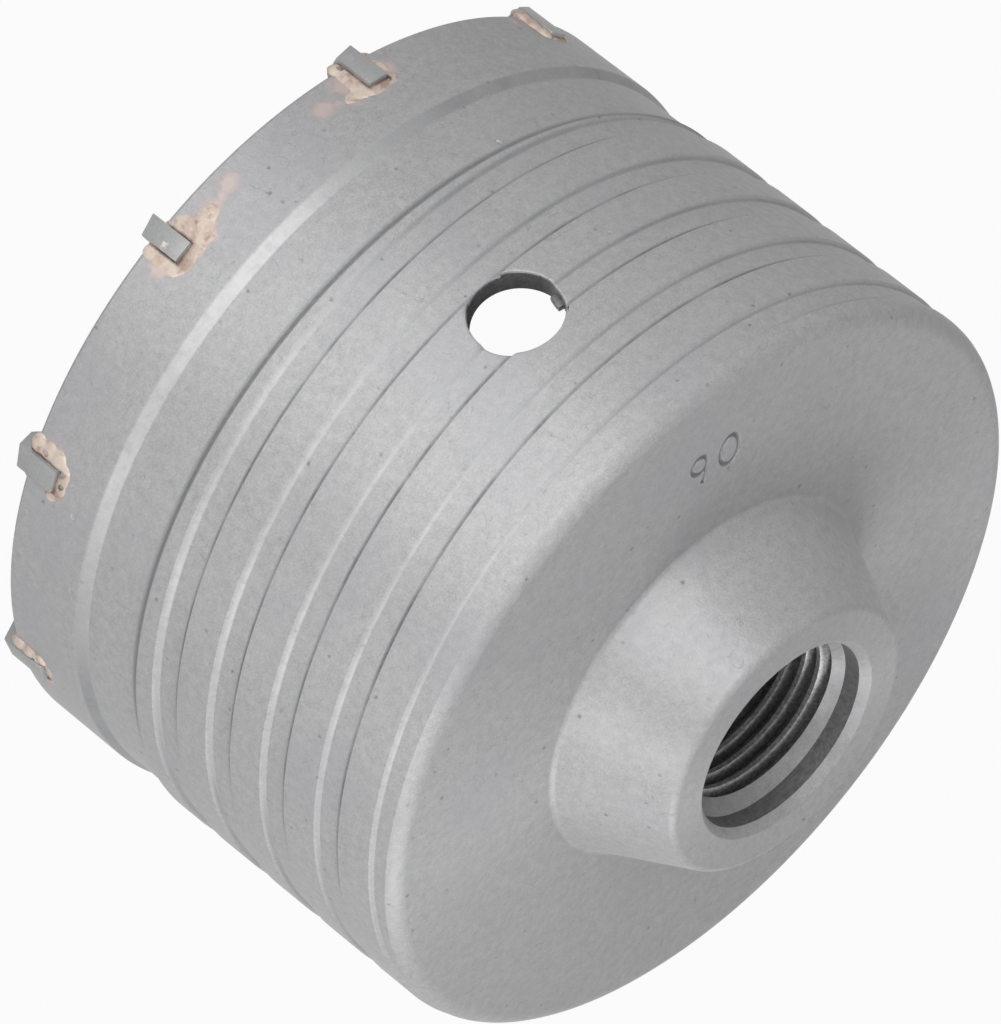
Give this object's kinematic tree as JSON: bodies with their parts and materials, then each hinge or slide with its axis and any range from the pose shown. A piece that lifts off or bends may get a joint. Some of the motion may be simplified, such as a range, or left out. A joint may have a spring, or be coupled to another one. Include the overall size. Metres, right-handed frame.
{
  "type": "hole saw",
  "caption": "Cup-shaped masonry hole saw with brazed carbide teeth round its rim, a helical dust groove, a side hole and a conical hub with a threaded bore.",
  "frame": {"origin": "on the tool's axis, in the plane of the tooth tips on which the saw stands", "axes": "+Z along the tool's axis from the teeth to the hub, -Y towards the side hole"},
  "size_m": [0.09, 0.0888, 0.072],
  "materials": {
    "blasted_steel": "blasted, light grey, matt",
    "tungsten_carbide": "ground, dull grey",
    "braze_alloy": "as brazed, pale and lumpy"
  },
  "bodies": {
    "root": {"cup_body": "blasted_steel", "carbide_tooth_01": "tungsten_carbide", "carbide_tooth_02": "tungsten_carbide", "carbide_tooth_03": "tungsten_carbide", "carbide_tooth_04": "tungsten_carbide", "carbide_tooth_05": "tungsten_carbide", "carbide_tooth_06": "tungsten_carbide", "carbide_tooth_07": "tungsten_carbide", "carbide_tooth_08": "tungsten_carbide", "carbide_tooth_09": "tungsten_carbide", "carbide_tooth_10": "tungsten_carbide", "braze_seam_01": "braze_alloy", "braze_seam_02": "braze_alloy", "braze_seam_03": "braze_alloy", "braze_seam_04": "braze_alloy", "braze_seam_05": "braze_alloy", "braze_seam_06": "braze_alloy", "braze_seam_07": "braze_alloy", "braze_seam_08": "braze_alloy", "braze_seam_09": "braze_alloy", "braze_seam_10": "braze_alloy"}
  },
  "joints": []
}
